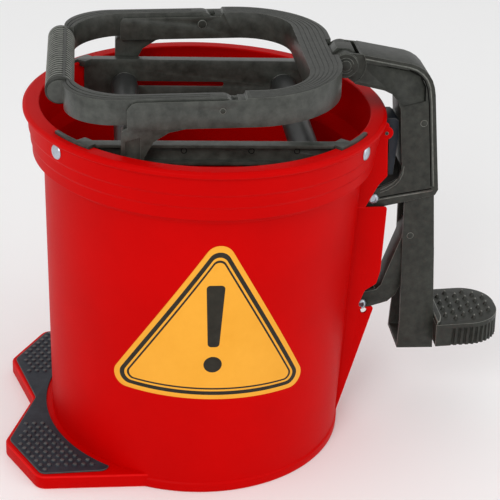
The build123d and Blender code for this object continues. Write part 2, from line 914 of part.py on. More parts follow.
# Side and end views of the bar: a channel open towards the pail, wider at the pedal.
bar_left = [(184.6, 76.5), (184.9, 106), (179.1, 222), (174, 292), (174.6, 305), (180, 312)]
bar_right = [(193, 312), (197, 306), (198, 293), (205.1, 229), (211, 175), (215, 125), (218.4, 76.5)]
bar_foot_half = 21.5
bar_end_view = [(bar_foot_half, 75), (bar_foot_half, 95), (bar_half_width, 180), (bar_half_width, 320)]
bar_skin = 2.8


def mirrored(end_view, inset):
    """Both halves of a symmetric end view, with its sides moved in by inset."""
    right = [(y - inset, z) for y, z in end_view]
    return right + [(-y, z) for y, z in reversed(right)]


def two_view_solid(side_view, end_view):
    """Solid with the given side view in x and z, and end view in y and z."""
    with BuildPart() as solid:
        with BuildSketch(Plane.XZ):
            Polygon(*side_view, align=None)
        extrude(amount=40, both=True)
        with BuildSketch(Plane.YZ.offset(140)):
            Polygon(*end_view, align=None)
        extrude(amount=120, mode=Mode.INTERSECT)
    return solid.part


cavity_side = [(160, 79.5), (160, 309)] + [(x - bar_skin, min(z, 309)) for x, z in bar_right[:-1]] + [(215.4, 79.5)]

with BuildPart() as pedal_bar:
    add(two_view_solid(bar_left + bar_right, mirrored(bar_end_view, 0)))
    add(two_view_solid(cavity_side, mirrored(bar_end_view, bar_skin)), mode=Mode.SUBTRACT)
    with BuildSketch(Plane.XZ):
        with Locations(bar_pivot):
            Circle(bolt_radius + running_gap)
        with Locations(link_top):
            Circle(bolt_radius)
    extrude(amount=30, both=True, mode=Mode.SUBTRACT)
    with BuildSketch(Plane.YZ.offset(200)):
        with Locations((-10, 95), (10, 95)):
            Circle(2)
    extrude(amount=30, mode=Mode.SUBTRACT)
pedal_bar.part.label = "pedal_bar"
export_step(pedal_bar.part, "parts/pedal_bar.step")


def bar_face(z):
    """x of the bar's outer face at a height beside the pedal."""
    (x_high, z_high), (x_low, z_low) = bar_right[-2:]
    return x_low + (x_high - x_low) * (z - z_low) / (z_high - z_low)


with BuildPart() as level_pedal:
    with BuildSketch(Plane.XY.offset(pedal_bottom)):
        with BuildLine():
            FilletPolyline(
                (200, -pedal_half_width),
                (pedal_end, -pedal_half_width),
                (pedal_end, pedal_half_width),
                (200, pedal_half_width),
                radius=30,
            )
            Line((200, pedal_half_width), (200, -pedal_half_width))
        make_face()
    extrude(amount=pedal_top - pedal_bottom)
    # hollow underneath, with a thick wall for the screws
    with BuildSketch(Plane.XY.offset(pedal_bottom)):
        with BuildLine():
            FilletPolyline(
                (228, -pedal_half_width + 3),
                (pedal_end - 3, -pedal_half_width + 3),
                (pedal_end - 3, pedal_half_width - 3),
                (228, pedal_half_width - 3),
                radius=27,
            )
            Line((228, pedal_half_width - 3), (228, -pedal_half_width + 3))
        make_face()
    extrude(amount=pedal_top - pedal_bottom - 3.5, mode=Mode.SUBTRACT)

with BuildPart() as foot_pedal:
    add(level_pedal.part.rotate(Axis((bar_face(95), 0, 95), (0, 1, 0)), -pedal_tilt))
    with BuildSketch(Plane.XZ):
        Polygon(
            (bar_face(pedal_top + 10), pedal_top + 10),
            (bar_face(pedal_bottom - 10), pedal_bottom - 10),
            (300, pedal_bottom - 10),
            (300, pedal_top + 10),
            align=None,
        )
    extrude(amount=60, both=True, mode=Mode.INTERSECT)
    with BuildSketch(Plane.YZ.offset(200)):
        with Locations((-10, 95), (10, 95)):
            Circle(2)
    extrude(amount=25, mode=Mode.SUBTRACT)
foot_pedal.part.label = "foot_pedal"
export_step(foot_pedal.part, "parts/foot_pedal.step")

with BuildPart() as pedal_screws:
    with BuildSketch(Plane.YZ.offset(211.4)):
        with Locations((-10, 95), (10, 95)):
            Circle(4)
    extrude(amount=2.3)
    with BuildSketch(Plane.YZ.offset(212)):
        with Locations((-10, 95), (10, 95)):
            Circle(2)
    extrude(amount=12.5)
pedal_screws.part.label = "pedal_screws"
export_step(pedal_screws.part, "parts/pedal_screws.step")

for pin_name, centre, half_length in (
    ("bar_top_pin", bar_pivot, arm_half_width),
    ("bar_link_pin", link_top, bar_half_width + 0.3),
):
    with BuildPart() as pin:
        with BuildSketch(along_y(*centre, -half_length, 0)):
            Circle(bolt_radius)
        extrude(amount=2 * half_length)
    pin.part.label = pin_name
    export_step(pin.part, f"parts/{pin_name}.step")
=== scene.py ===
from math import atan2, cos, hypot, pi, radians, sin, tan

import bmesh
import bpy
from mathutils import Matrix, Vector


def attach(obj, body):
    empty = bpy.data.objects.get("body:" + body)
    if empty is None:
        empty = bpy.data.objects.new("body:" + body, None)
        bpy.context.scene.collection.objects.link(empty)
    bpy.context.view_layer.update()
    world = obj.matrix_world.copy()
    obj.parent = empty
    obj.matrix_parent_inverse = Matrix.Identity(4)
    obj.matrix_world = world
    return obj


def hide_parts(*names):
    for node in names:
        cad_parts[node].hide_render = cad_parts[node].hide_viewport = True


# Lengths are in millimetres until a mesh is made. +X points to the pedal and +Z is up.
MM = 0.001

# Drawing planes: right, up, and the direction in which a prism grows.
SIDE = (Vector((1, 0, 0)), Vector((0, 0, 1)), Vector((0, 1, 0)))
PLAN = (Vector((1, 0, 0)), Vector((0, 1, 0)), Vector((0, 0, 1)))

# Pivots and centres in the side view, as (x, z).
ARM_PIVOT = (149.2, 228.3)
LINK_PIVOT = (149, 118.2)
STOP_PIVOT = (154.5, 292.5)
HUB = (115, 351)
HANDLE_PIVOT = (3, 347.5)
GRIP_CENTRE = (-122.8, 348.4)
FIXED_ROLLER = (79.2, 291)
MOVING_ROLLER = (-66.6, 291)

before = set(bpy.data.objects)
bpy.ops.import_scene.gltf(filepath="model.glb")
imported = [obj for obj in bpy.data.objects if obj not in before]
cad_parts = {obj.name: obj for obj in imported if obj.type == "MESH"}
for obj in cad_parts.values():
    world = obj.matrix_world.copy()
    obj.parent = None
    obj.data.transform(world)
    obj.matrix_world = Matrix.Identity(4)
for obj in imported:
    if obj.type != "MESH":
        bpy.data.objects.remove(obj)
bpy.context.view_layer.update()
scene = bpy.context.scene


# ---- camera, light and floor -------------------------------------------------------------------
def add_camera():
    """The camera of the reference view: a short telephoto, turned a little about its own axis."""
    azimuth, elevation, roll = radians(7.43), radians(26.9), radians(3.16)
    forward = Vector((cos(elevation) * sin(azimuth), cos(elevation) * cos(azimuth), -sin(elevation)))
    level = Vector((cos(azimuth), -sin(azimuth), 0))
    upright = level.cross(forward)
    right = level * cos(roll) + upright * sin(roll)
    up = upright * cos(roll) - level * sin(roll)
    data = bpy.data.cameras.new("camera")
    data.lens = 102.6
    camera = bpy.data.objects.new("camera", data)
    turn = Matrix((right, up, -forward)).transposed().to_4x4()
    camera.matrix_world = Matrix.Translation((-0.1034, -1.1388, 0.7506)) @ turn
    scene.collection.objects.link(camera)
    scene.camera = camera


def add_light(name, place, target, size, power):
    """A square soft box at a place, aimed at a target."""
    data = bpy.data.lights.new(name, "AREA")
    data.size = size
    data.energy = power
    light = bpy.data.objects.new(name, data)
    light.location = place
    light.rotation_euler = (Vector(target) - Vector(place)).to_track_quat("-Z", "Y").to_euler()
    scene.collection.objects.link(light)


def add_studio():
    """Pale floor, even white surround and two soft boxes."""
    world = bpy.data.worlds.new("surround")
    world.use_nodes = True
    background = world.node_tree.nodes["Background"]
    background.inputs["Color"].default_value = (1, 1, 1, 1)
    background.inputs["Strength"].default_value = 0.8
    scene.world = world
    scene.view_settings.view_transform = "Standard"
    mesh = bpy.data.meshes.new("floor")
    mesh.from_pydata([(-6, -6, 0), (6, -6, 0), (6, 6, 0), (-6, 6, 0)], [], [(0, 1, 2, 3)])
    floor = bpy.data.objects.new("floor", mesh)
    scene.collection.objects.link(floor)
    floor.data.materials.append(plain_floor())
    add_light("key", (-0.7, -1.5, 1.3), (0, 0, 0.25), 0.7, 11)
    add_light("fill", (1.4, -0.9, 0.9), (0.05, 0, 0.2), 1.0, 4)


# ---- finishes ----------------------------------------------------------------------------------
def plain_floor():
    """Matte near-white paper."""
    material = bpy.data.materials.new("paper")
    material.use_nodes = True
    shader = material.node_tree.nodes["Principled BSDF"]
    shader.inputs["Base Color"].default_value = (0.95, 0.95, 0.95, 1)
    shader.inputs["Roughness"].default_value = 0.9
    return material


def finish(name, dark, light, roughness, patch=30, grain=900, relief=0.1, metallic=0.0, specular=0.5):
    """Procedural surface: its colour drifts between two tones, with a fine grain in gloss and relief."""
    material = bpy.data.materials.new(name)
    material.use_nodes = True
    nodes = material.node_tree.nodes
    links = material.node_tree.links
    shader = nodes["Principled BSDF"]
    shader.inputs["Metallic"].default_value = metallic
    shader.inputs["Specular IOR Level"].default_value = specular
    place = nodes.new("ShaderNodeTexCoord").outputs["Object"]

    drift = nodes.new("ShaderNodeTexNoise")
    drift.inputs["Scale"].default_value = patch
    drift.inputs["Detail"].default_value = 6
    drift.inputs["Roughness"].default_value = 0.65
    links.new(place, drift.inputs["Vector"])
    tones = nodes.new("ShaderNodeValToRGB")
    tones.color_ramp.elements[0].position = 0.3
    tones.color_ramp.elements[0].color = (*dark, 1)
    tones.color_ramp.elements[1].position = 0.7
    tones.color_ramp.elements[1].color = (*light, 1)
    links.new(drift.outputs["Fac"], tones.inputs["Fac"])
    links.new(tones.outputs["Color"], shader.inputs["Base Color"])

    fine = nodes.new("ShaderNodeTexNoise")
    fine.inputs["Scale"].default_value = grain
    fine.inputs["Detail"].default_value = 3
    links.new(place, fine.inputs["Vector"])
    gloss = nodes.new("ShaderNodeMapRange")
    gloss.inputs["To Min"].default_value = roughness - 0.06
    gloss.inputs["To Max"].default_value = roughness + 0.08
    links.new(fine.outputs["Fac"], gloss.inputs["Value"])
    links.new(gloss.outputs["Result"], shader.inputs["Roughness"])
    bump = nodes.new("ShaderNodeBump")
    bump.inputs["Strength"].default_value = relief
    bump.inputs["Distance"].default_value = 0.0004
    links.new(fine.outputs["Fac"], bump.inputs["Height"])
    links.new(bump.outputs["Normal"], shader.inputs["Normal"])
    return material


RED = finish(
    "red_plastic", (0.49, 0.0, 0.0), (0.56, 0.0, 0.0),
    0.45, patch=9, grain=500, relief=0.03, specular=0.04,
)
# Lighter red for the edge roundings: a painted highlight along the edges.
RED_EDGE_HIGHLIGHT = finish(
    "red_plastic_edge_highlight", (0.6, 0.0, 0.0), (0.72, 0.002, 0.002),
    0.4, patch=40, specular=0.1,
)
BLACK = finish(
    "black_plastic", (0.013, 0.014, 0.011), (0.036, 0.038, 0.031),
    0.46, patch=150, grain=1300, relief=0.35, specular=0.3,
)
# Much lighter black for edge roundings, cut strips, rib crests and stud tips: a painted highlight.
BLACK_EDGE_HIGHLIGHT = finish(
    "black_plastic_edge_highlight", (0.09, 0.095, 0.083), (0.22, 0.225, 0.2),
    0.4, patch=160, grain=1300, specular=0.4,
)
# Near-black for grooves, ring marks and rib valleys: painted shade.
BLACK_PAINTED_SHADE = finish(
    "black_plastic_shadow", (0.004, 0.004, 0.003), (0.009, 0.009, 0.008),
    0.6, patch=150, specular=0.1,
)
# Lighter copy of the black plastic for the loop, handle and crossbars, standing in for the light that falls
# on them: painted light.
BLACK_LIT = finish(
    "black_plastic_painted_lit", (0.018, 0.02, 0.016), (0.06, 0.064, 0.055),
    0.36, patch=110, grain=1300, relief=0.3,
)
ROLLER = finish(
    "roller_plastic", (0.02, 0.021, 0.02), (0.034, 0.036, 0.035),
    0.4, patch=50, relief=0.08, specular=0.4,
)
RUBBER = finish(
    "tread_rubber", (0.009, 0.012, 0.019), (0.024, 0.03, 0.04),
    0.55, patch=90, grain=1500, relief=0.3, specular=0.3,
)
RUBBER_EDGE = finish(
    "tread_rubber_edge", (0.04, 0.044, 0.045), (0.1, 0.105, 0.104),
    0.45, patch=120, grain=1500, specular=0.3,
)
NYLON = finish("bush_nylon", (0.42, 0.42, 0.39), (0.55, 0.55, 0.51), 0.45, patch=60)
ZINC = finish(
    "zinc_steel", (0.36, 0.4, 0.46), (0.58, 0.62, 0.68),
    0.3, patch=260, grain=2500, metallic=0.9,
)
FILM = finish(
    "sticker_film", (0.82, 0.36, 0.028), (0.88, 0.4, 0.038),
    0.42, patch=25, relief=0.02, specular=0.15,
)
INK = finish(
    "sticker_ink", (0.017, 0.015, 0.011), (0.03, 0.027, 0.02),
    0.45, patch=120, relief=0.02, specular=0.15,
)
# Per slot: the base finish, then a painted edge highlight, then painted shade for the black; the painted-lit
# black set ends with plain black, used as painted shade on tops.
FINISHES = {
    "red_plastic": (RED, RED_EDGE_HIGHLIGHT),
    "black_plastic": (BLACK, BLACK_EDGE_HIGHLIGHT, BLACK_PAINTED_SHADE),
    "painted_lit": (BLACK_LIT, BLACK_EDGE_HIGHLIGHT, BLACK_PAINTED_SHADE, BLACK),
    "roller_plastic": (ROLLER, BLACK_EDGE_HIGHLIGHT),
    "tread_rubber": (RUBBER, RUBBER_EDGE),
    "bush_nylon": (NYLON,),
    "zinc_steel": (ZINC,),
    "sticker_film": (FILM, INK),
}


# ---- shapes ------------------------------------------------------------------------------------
def rounded(corners, radius=0.0):
    """Closed outline with rounded corners. A corner's third number is its own radius."""
    outline = []
    for i, corner in enumerate(corners):
        here = Vector(corner[:2])
        before = Vector(corners[i - 1][:2]) - here
        after = Vector(corners[(i + 1) % len(corners)][:2]) - here
        wanted = corner[2] if len(corner) > 2 else radius
        bend = before.angle(after)
        if wanted <= 0 or bend > radians(176):
            outline.append(here)
            continue
        reach = min(wanted / tan(bend / 2), 0.49 * before.length, 0.49 * after.length)
        size = reach * tan(bend / 2)
        centre = here + (before.normalized() + after.normalized()).normalized() * size / sin(bend / 2)
        start = here + before.normalized() * reach - centre
        stop = here + after.normalized() * reach - centre
        first = atan2(start.y, start.x)
        turn = (atan2(stop.y, stop.x) - first + pi) % (2 * pi) - pi
        steps = max(2, round(abs(turn) / radians(9)))
        for k in range(steps + 1):
            angle = first + turn * k / steps
            outline.append(centre + Vector((cos(angle), sin(angle))) * size)
    return outline


def ring(radius, centre=(0, 0), steps=64):
    """Closed circular outline."""
    angles = [2 * pi * k / steps for k in range(steps)]
    return [(centre[0] + radius * cos(a), centre[1] + radius * sin(a)) for a in angles]


def ribbon(path, width):
    """Outline of a narrow band along an open path."""
    points = [Vector(p[:2]) for p in path]
    left, right = [], []
    for i, point in enumerate(points):
        along = (points[min(i + 1, len(points) - 1)] - points[max(i - 1, 0)]).normalized()
        across = Vector((-along.y, along.x)) * width / 2
        left.append(point + across)
        right.append(point - across)
    return left + right[::-1]


def link_object(name, bm):
    """Object from a bmesh in millimetres."""
    bmesh.ops.recalc_face_normals(bm, faces=bm.faces)
    bmesh.ops.scale(bm, vec=(MM, MM, MM), verts=bm.verts)
    mesh = bpy.data.meshes.new(name)
    bm.to_mesh(mesh)
    bm.free()
    obj = bpy.data.objects.new(name, mesh)
    scene.collection.objects.link(obj)
    return obj


def prism(name, outline, axes, near, far):
    """Straight solid with a closed outline, from near to far along the third axis."""
    u, v, w = axes
    bm = bmesh.new()
    ends = []
    for depth in (near, far):
        ends.append([bm.verts.new(u * p[0] + v * p[1] + w * depth) for p in outline])
    for i in range(len(outline)):
        bm.faces.new((ends[0][i - 1], ends[0][i], ends[1][i], ends[1][i - 1]))
    bm.faces.new(ends[0])
    bm.faces.new(ends[1])
    return link_object(name, bm)


def lathe(name, profile, origin, along, steps=96):
    """Solid of revolution. The closed profile is in (radius, distance along the axis)."""
    axis = Vector(along).normalized()
    side = axis.orthogonal().normalized()
    other = axis.cross(side)
    bm = bmesh.new()
    rings = []
    for radius, height in profile:
        centre = Vector(origin) + axis * height
        if radius < 1e-6:
            rings.append([bm.verts.new(centre)] * steps)
        else:
            spokes = [2 * pi * k / steps for k in range(steps)]
            rings.append([bm.verts.new(centre + (side * cos(a) + other * sin(a)) * radius) for a in spokes])
    for i in range(len(rings)):
        for k in range(steps):
            quad = (rings[i - 1][k - 1], rings[i - 1][k], rings[i][k], rings[i][k - 1])
            corners = list(dict.fromkeys(quad))
            if len(corners) > 2:
                bm.faces.new(corners)
    return link_object(name, bm)


def applied(obj):
    """Replaces an object's mesh with the outcome of its modifiers."""
    graph = bpy.context.evaluated_depsgraph_get()
    mesh = bpy.data.meshes.new_from_object(obj.evaluated_get(graph))
    obj.modifiers.clear()
    obj.data = mesh
    return obj


def merged(operation, obj, others):
    """Adds, cuts or intersects an object with others, which are used up."""
    for other in others:
        modifier = obj.modifiers.new("shape", "BOOLEAN")
        modifier.operation = operation
        modifier.solver = "EXACT"
        modifier.object = other
    bpy.context.view_layer.update()
    applied(obj)
    for other in others:
        bpy.data.objects.remove(other)
    return obj


def soften(obj, width, angle=38, segments=2):
    """Rounds the sharp edges; the rounding takes the second finish, which for the red, black and rubber
    surfaces is a painted highlight.
    """
    modifier = obj.modifiers.new("edges", "BEVEL")
    modifier.limit_method = "ANGLE"
    modifier.angle_limit = radians(angle)
    modifier.width = width * MM
    modifier.segments = segments
    modifier.use_clamp_overlap = True
    modifier.material = 1
    while len(obj.data.materials) < 2:
        obj.data.materials.append(None)
    return applied(obj)


def copy_of(node):
    """Tidy copy of a CAD node's mesh, with its triangles merged into flat faces."""
    bm = bmesh.new()
    bm.from_mesh(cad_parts[node].data)
    bmesh.ops.remove_doubles(bm, verts=bm.verts, dist=1e-6)
    bmesh.ops.dissolve_limit(bm, angle_limit=radians(0.6), verts=bm.verts, edges=bm.edges)
    bmesh.ops.scale(bm, vec=(1000, 1000, 1000), verts=bm.verts)
    return link_object(node + "_moulding", bm)


def dress(obj, body, slot, nodes=(), sharp=33, look=None):
    """Gives a finished piece the surface of its slot or look, ties it to its CAD body and hides the CAD
    nodes that it replaces.
    """
    indices = [p.material_index for p in obj.data.polygons]
    obj.data.materials.clear()
    surfaces = FINISHES[look or slot]
    for material in surfaces:
        obj.data.materials.append(material)
    last = len(surfaces) - 1
    for polygon, index in zip(obj.data.polygons, indices):
        polygon.material_index = min(index, last)
    obj.data.shade_smooth()
    obj.data.set_sharp_from_angle(angle=radians(sharp))
    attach(obj, body)
    if nodes:
        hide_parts(*nodes)
    return obj


def tilted(obj):
    """Tilts a level piece by 2 degrees with the press loop, about the carry handle's pivot."""
    pivot = Matrix.Translation(Vector((HANDLE_PIVOT[0], 0, HANDLE_PIVOT[1])) * MM)
    obj.data.transform(pivot @ Matrix.Rotation(radians(-2), 4, "Y") @ pivot.inverted())
    return obj


def toned(obj, index):
    """Gives every face one of the finishes of the piece that it becomes part of."""
    for polygon in obj.data.polygons:
        polygon.material_index = index
    return obj


def painted_shade_top(obj):
    """Paints the upward faces of a painted-lit piece with plain black, as painted shade on its top."""
    for polygon in obj.data.polygons:
        if polygon.material_index == 0 and polygon.normal.z > 0.9:
            polygon.material_index = 3
    return obj


def joined(name, parts):
    """One object from several that don't touch."""
    bm = bmesh.new()
    for part in parts:
        bm.from_mesh(part.data)
        bpy.data.objects.remove(part)
    bmesh.ops.scale(bm, vec=(1000, 1000, 1000), verts=bm.verts)
    return link_object(name, bm)


def inset(corners, amount):
    """Corners of an outline moved inwards by an amount, with straight sides kept parallel."""
    points = [Vector(c[:2]) for c in corners]
    area = sum(points[i - 1].x * points[i].y - points[i].x * points[i - 1].y for i in range(len(points)))
    turn = 1 if area > 0 else -1
    moved = []
    for i, here in enumerate(points):
        before = (here - points[i - 1]).normalized()
        after = (points[(i + 1) % len(points)] - here).normalized()
        normals = [Vector((-d.y, d.x)) * turn for d in (before, after)]
        middle = (normals[0] + normals[1]).normalized()
        moved.append(tuple(here + middle * amount / middle.dot(normals[0])))
    return moved


def sector(inner, outer, start, stop, steps=8):
    """Plan of a ring sector between two angles in degrees."""
    angles = [radians(start + (stop - start) * i / steps) for i in range(steps + 1)]
    arc = [(outer * cos(a), outer * sin(a)) for a in angles]
    return arc + [(inner * cos(a), inner * sin(a)) for a in reversed(angles)]


# ---- pail --------------------------------------------------------------------------------------
FLOOR_RADIUS, FLOOR_Z = 133.2, 9.6
SHOULDER_RADIUS, SHOULDER_Z = 137.9, 262
RIVET_ANGLES = (33.6, 146.4, 213.6, 326.4)
TOES = [(-174.8, -70), (-144, -125), (-40, -124.2), (-40, 124.2), (-144, 125), (-174.8, 70), (-152, 0)]
PAD = [(-170.5, -69), (-141.6, -121.2), (-83, -118), (-83, 118), (-141.6, 121.2), (-170.5, 69), (-149.3, 0)]


def wall_radius(z):
    """Outer radius of the pail below its shoulder."""
    return FLOOR_RADIUS + (SHOULDER_RADIUS - FLOOR_RADIUS) * (z - FLOOR_Z) / (SHOULDER_Z - FLOOR_Z)


def make_pail():
    """Shell with a stepped skirt round its mouth, and notches in the lip for the crossbars' hooks."""
    section = [
        (0, 0), (14, 0), (17, 3), (118, 3), (120, 0), (134.6, 0, 1.4), (134.6, 8, 1.4),
        (FLOOR_RADIUS, FLOOR_Z, 1.6), (SHOULDER_RADIUS, SHOULDER_Z, 3), (143.2, 273, 3), (143.2, 309),
        (148.1, 309), (148.1, 291.8), (146.7, 289.5), (146.5, 280.5), (145.2, 278.5), (144.9, 268.5),
        (147.3, 268.5, 1), (147.6, 278.3, 1.4), (148.9, 280.6, 1.4), (149.1, 289.3, 1.4),
        (150.5, 291.6, 1.4), (150.6, 305.4, 1.2), (154.2, 306.6, 1.2), (155, 307.8, 0.8),
        (155, 310.4, 1.6), (152.4, 312, 1.4), (140.7, 312, 1.6), (140.7, 274, 4), (135.4, 262, 5),
        (130.6, 16, 7), (129, 10, 4), (122, 6, 4), (0, 6),
    ]
    pail = lathe("pail_shell", rounded(section), (0, 0, 0), (0, 0, 1), 192)
    notches = []
    stop = 47.5
    for on_left in (False, True):
        for side in (-1, 1):
            for inner, start, floor in ((143.4, 30.3, 305), (139, 40.3, 308.2)):
                span = (180 - stop, 180 - start) if on_left else (start, stop)
                outline = [(x, y * side) for x, y in sector(inner, 147.9, *span)]
                notches.append(prism("notch", outline, PLAN, floor, 316))
    for notch in notches:
        merged("DIFFERENCE", pail, [notch])
    dress(pail, "base", "red_plastic", ["bucket"], sharp=28)


def make_toes():
    """Two toes on the left, hollow underneath."""
    toes = soften(prism("toe_step", rounded(TOES, 12), PLAN, 0, 13), 1.4, segments=3)
    hollow = prism("hollow", rounded(inset(TOES, 3), 6), PLAN, -1, 10.5)
    merged("DIFFERENCE", hollow, [prism("core", ring(136.5, steps=128), PLAN, -2, 12)])
    merged("DIFFERENCE", toes, [hollow, prism("core", ring(132.3, steps=128), PLAN, -2, 20)])
    dress(toes, "base", "red_plastic", ["bucket"])


def make_spine():
    """Bracket on the pedal side: two side walls with back webs, knuckles and a pair of ears."""
    upper = [
        (139, 302, 3), (139, 275, 0), (134.4, 262, 0), (133.4, 221.9, 0), (141.8, 221.9, 1),
        (151.7, 243.4, 4), (158.9, 252.3, 3), (156.3, 283.8, 2), (156.3, 302, 3),
    ]
    lower = [
        (133.5, 221.9, 0), (129.7, 10, 0), (131.8, 10, 0), (135.8, 26.7, 4), (158.5, 122.4, 2),
        (142.4, 119.4, 4), (148.9, 139.1, 4), (158.6, 145.8, 4), (161.2, 158.9, 4), (161.5, 222.4, 2),
    ]
    webs = [
        [(158.7, 160), (161.2, 158.9), (161.4, 204), (158.9, 204)],
        [(153.8, 283.5), (156.3, 283.5), (158.7, 254.5), (156.2, 254.5)],
        [(153.4, 101), (150.7, 101), (132.9, 25), (130.3, 10), (131.8, 10), (135.8, 26.7)],
    ]
    upper_root = [(134.2, 245), (151.5, 236.4), (151.5, 220.2), (133.9, 212)]
    lower_root = [(132.2, 134), (151, 125.9), (151, 110.5), (131.9, 104)]
    parts = []
    for side in (-1, 1):
        for outline in (upper, lower):
            parts.append(soften(prism("wall", rounded(outline), SIDE, side * 22.2, side * 24.7), 0.5))
        ear = prism("ear", ring(5.8, STOP_PIVOT, 40), SIDE, side * 22.1, side * 24.75)
        parts.append(soften(ear, 0.5))
        parts.append(prism("knuckle", ring(8.5, ARM_PIVOT, 40), SIDE, side * 4.6, side * 10))
        parts.append(prism("root", upper_root, SIDE, side * 4.65, side * 9.95))
    for outline in webs:
        parts.append(prism("web", outline, SIDE, -23.7, 23.7))
    parts.append(prism("knuckle", ring(8, LINK_PIVOT, 40), SIDE, -7.8, 7.8))
    parts.append(prism("root", lower_root, SIDE, -7.75, 7.75))
    spine = merged("UNION", parts[0], parts[1:])
    spine.name = "pedal_spine"
    holes = [
        prism("hole", ring(3.02, ARM_PIVOT, 32), SIDE, -30, 30),
        prism("hole", ring(3.02, LINK_PIVOT, 32), SIDE, -30, 30),
        prism("hole", ring(1.62, STOP_PIVOT, 24), SIDE, -30, 30),
    ]
    dress(merged("DIFFERENCE", spine, holes), "base", "red_plastic", ["bucket"])


def inside(point, corners):
    """Whether a point of the plan lies within an outline."""
    x, y = point
    odd = False
    for i in range(len(corners)):
        (xa, ya), (xb, yb) = corners[i - 1][:2], corners[i][:2]
        if (ya > y) != (yb > y) and x < xa + (y - ya) * (xb - xa) / (yb - ya):
            odd = not odd
    return odd


def stud(x, y, base, radius, height, tip, steps=12):
    """Small domed or pointed stud that stands on a plate; its tip takes the second finish, a painted
    highlight.
    """
    profile = [(0, base - 0.6), (radius, base - 0.6), (radius, base)]
    for k in range(1, 4):
        share = sin(pi / 2 * k / 4)
        profile.append((radius + (tip - radius) * k / 4, base + height * (share if tip > 1 else k / 4)))
    profile += [(tip, base + height), (0, base + height + 0.1)]
    post = lathe("stud", profile, (x, y, 0), (0, 0, 1), steps)
    # The top of the stud is painted with the highlight finish.
    for polygon in post.data.polygons:
        if polygon.center.z > (base + height * 0.8) * MM:
            polygon.material_index = 1
    return post


def make_tread():
    """Rubber pad on the toes, with rows of small studs inside a smooth margin."""
    plate = soften(prism("tread_pad", rounded(PAD, 8), PLAN, 13, 14.5), 0.5)
    merged("DIFFERENCE", plate, [prism("core", ring(139.5, steps=160), PLAN, 10, 20)])
    field = inset(PAD, 4.5)
    wall_margin, waist_margin = 143.2, 34
    pitch = 7.4
    studs = []
    for side in (-1, 1):
        for row in range(12):
            for column in range(15):
                x = -168 + pitch * (column + 0.5 * (row % 2))
                y = -116.2 + pitch * 0.87 * row
                if inside((x, y), field) and hypot(x, y) > wall_margin and y < -waist_margin:
                    studs.append(stud(x, side * y, 14.4, 2.5, 1.5, 1.2, 12))
    dress(merged("UNION", plate, [joined("studs", studs)]), "base", "tread_rubber", ["foot_tread_pad"])


# ---- sticker -----------------------------------------------------------------------------------
LABEL = [(4.5, 253.3), (-93.6, 99.6), (94.8, 93.9)]


def on_wall(along, z, lift):
    """Point of the pail's wall at a distance along its front and a height, lifted off it."""
    angle = along / wall_radius(z)
    radius = wall_radius(z) + lift
    return Vector((radius * sin(angle), -radius * cos(angle), z))


def film(name, outlines, tones, lift, thickness):
    """Thin sheet wrapped on the wall. Each outline lies inside the one before; tones has one per band."""
    centre = sum((Vector(p) for p in outlines[-1]), Vector((0, 0))) / len(outlines[-1])
    loops = [[Vector(p) for p in outline] for outline in outlines]
    last = loops[-1]
    steps = 12
    for k in range(1, steps):
        loops.append([p.lerp(centre, k / steps) for p in last])
    tones = tones + [tones[-1]] * (steps - 1)
    bm = bmesh.new()
    layers = []
    for offset in (lift, lift - thickness):
        layers.append([[bm.verts.new(on_wall(*p, offset)) for p in loop] for loop in loops])
    for layer, offset in zip(layers, (lift, lift - thickness)):
        for index in range(len(loops) - 1):
            here, after = layer[index], layer[index + 1]
            for i in range(len(last)):
                quad = (here[i - 1], here[i], after[i], after[i - 1])
                bm.faces.new(quad).material_index = tones[index]
        middle = bm.verts.new(on_wall(*centre, offset))
        for i in range(len(last)):
            bm.faces.new((layer[-1][i - 1], layer[-1][i], middle)).material_index = tones[-1]
    front, back = layers[0][0], layers[1][0]
    for i in range(len(last)):
        bm.faces.new((front[i - 1], front[i], back[i], back[i - 1])).material_index = tones[0]
    return link_object(name, bm)


def divided(outline, longest=12, parts=24):
    """Outline with its long sides cut into short ones, so that they can bend."""
    points = []
    for i, here in enumerate(outline):
        after = outline[(i + 1) % len(outline)]
        here, after = Vector(here), Vector(after)
        count = parts if (after - here).length > longest else 1
        points += [here.lerp(after, k / count) for k in range(count)]
    return points


def make_sticker():
    """Triangle with a broad and a narrow dark line along its edge, and a plain exclamation mark."""
    lines = ((0, 12), (4.2, 9.5), (7.8, 7), (9.6, 6), (11.2, 5))
    outlines = [divided(rounded(inset(LABEL, amount), radius)) for amount, radius in lines]
    bar = rounded([(-6.2, 206), (-3.2, 148), (6.2, 148), (9.2, 206)], 3.2)
    sheets = (
        film("hazard_sticker", outlines, [0, 1, 0, 1, 0], 0.42, 0.36),
        film("exclamation_bar", [divided(bar, 8, 10)], [1], 0.5, 0.1),
        film("exclamation_dot", [ring(7.6, (1.5, 131), 48)], [1], 0.5, 0.1),
    )
    for sheet in sheets:
        dress(sheet, "base", "sticker_film", ["hazard_label"])


# ---- crossbars and rollers ---------------------------------------------------------------------
def make_crossbars():
    """Flanged bars whose ends hook over the rim, with round mould marks on their outer faces; the ring
    groove of each mark carries painted shade, and the bars take the painted-lit black.
    """
    for name, side in (("front_crossbar", -1), ("rear_crossbar", 1)):
        bar = soften(copy_of(name), 0.45)
        for x in (-24.8, 29.2, 66):
            mark = prism("mark", ring(2.5, (x, 306.5), 24), SIDE, side * 97.1, side * 99)
            core = prism("core", ring(1.7, (x, 306.5), 24), SIDE, side * 96.5, side * 97.9)
            # The ring groove round each mark is painted with the shade finish.
            merged("DIFFERENCE", bar, [toned(mark, 2)])
            merged("UNION", bar, [core])
        # The painted-lit black makes the whole bar lighter, as painted light.
        dress(bar, "base", "black_plastic", [name], look="painted_lit")


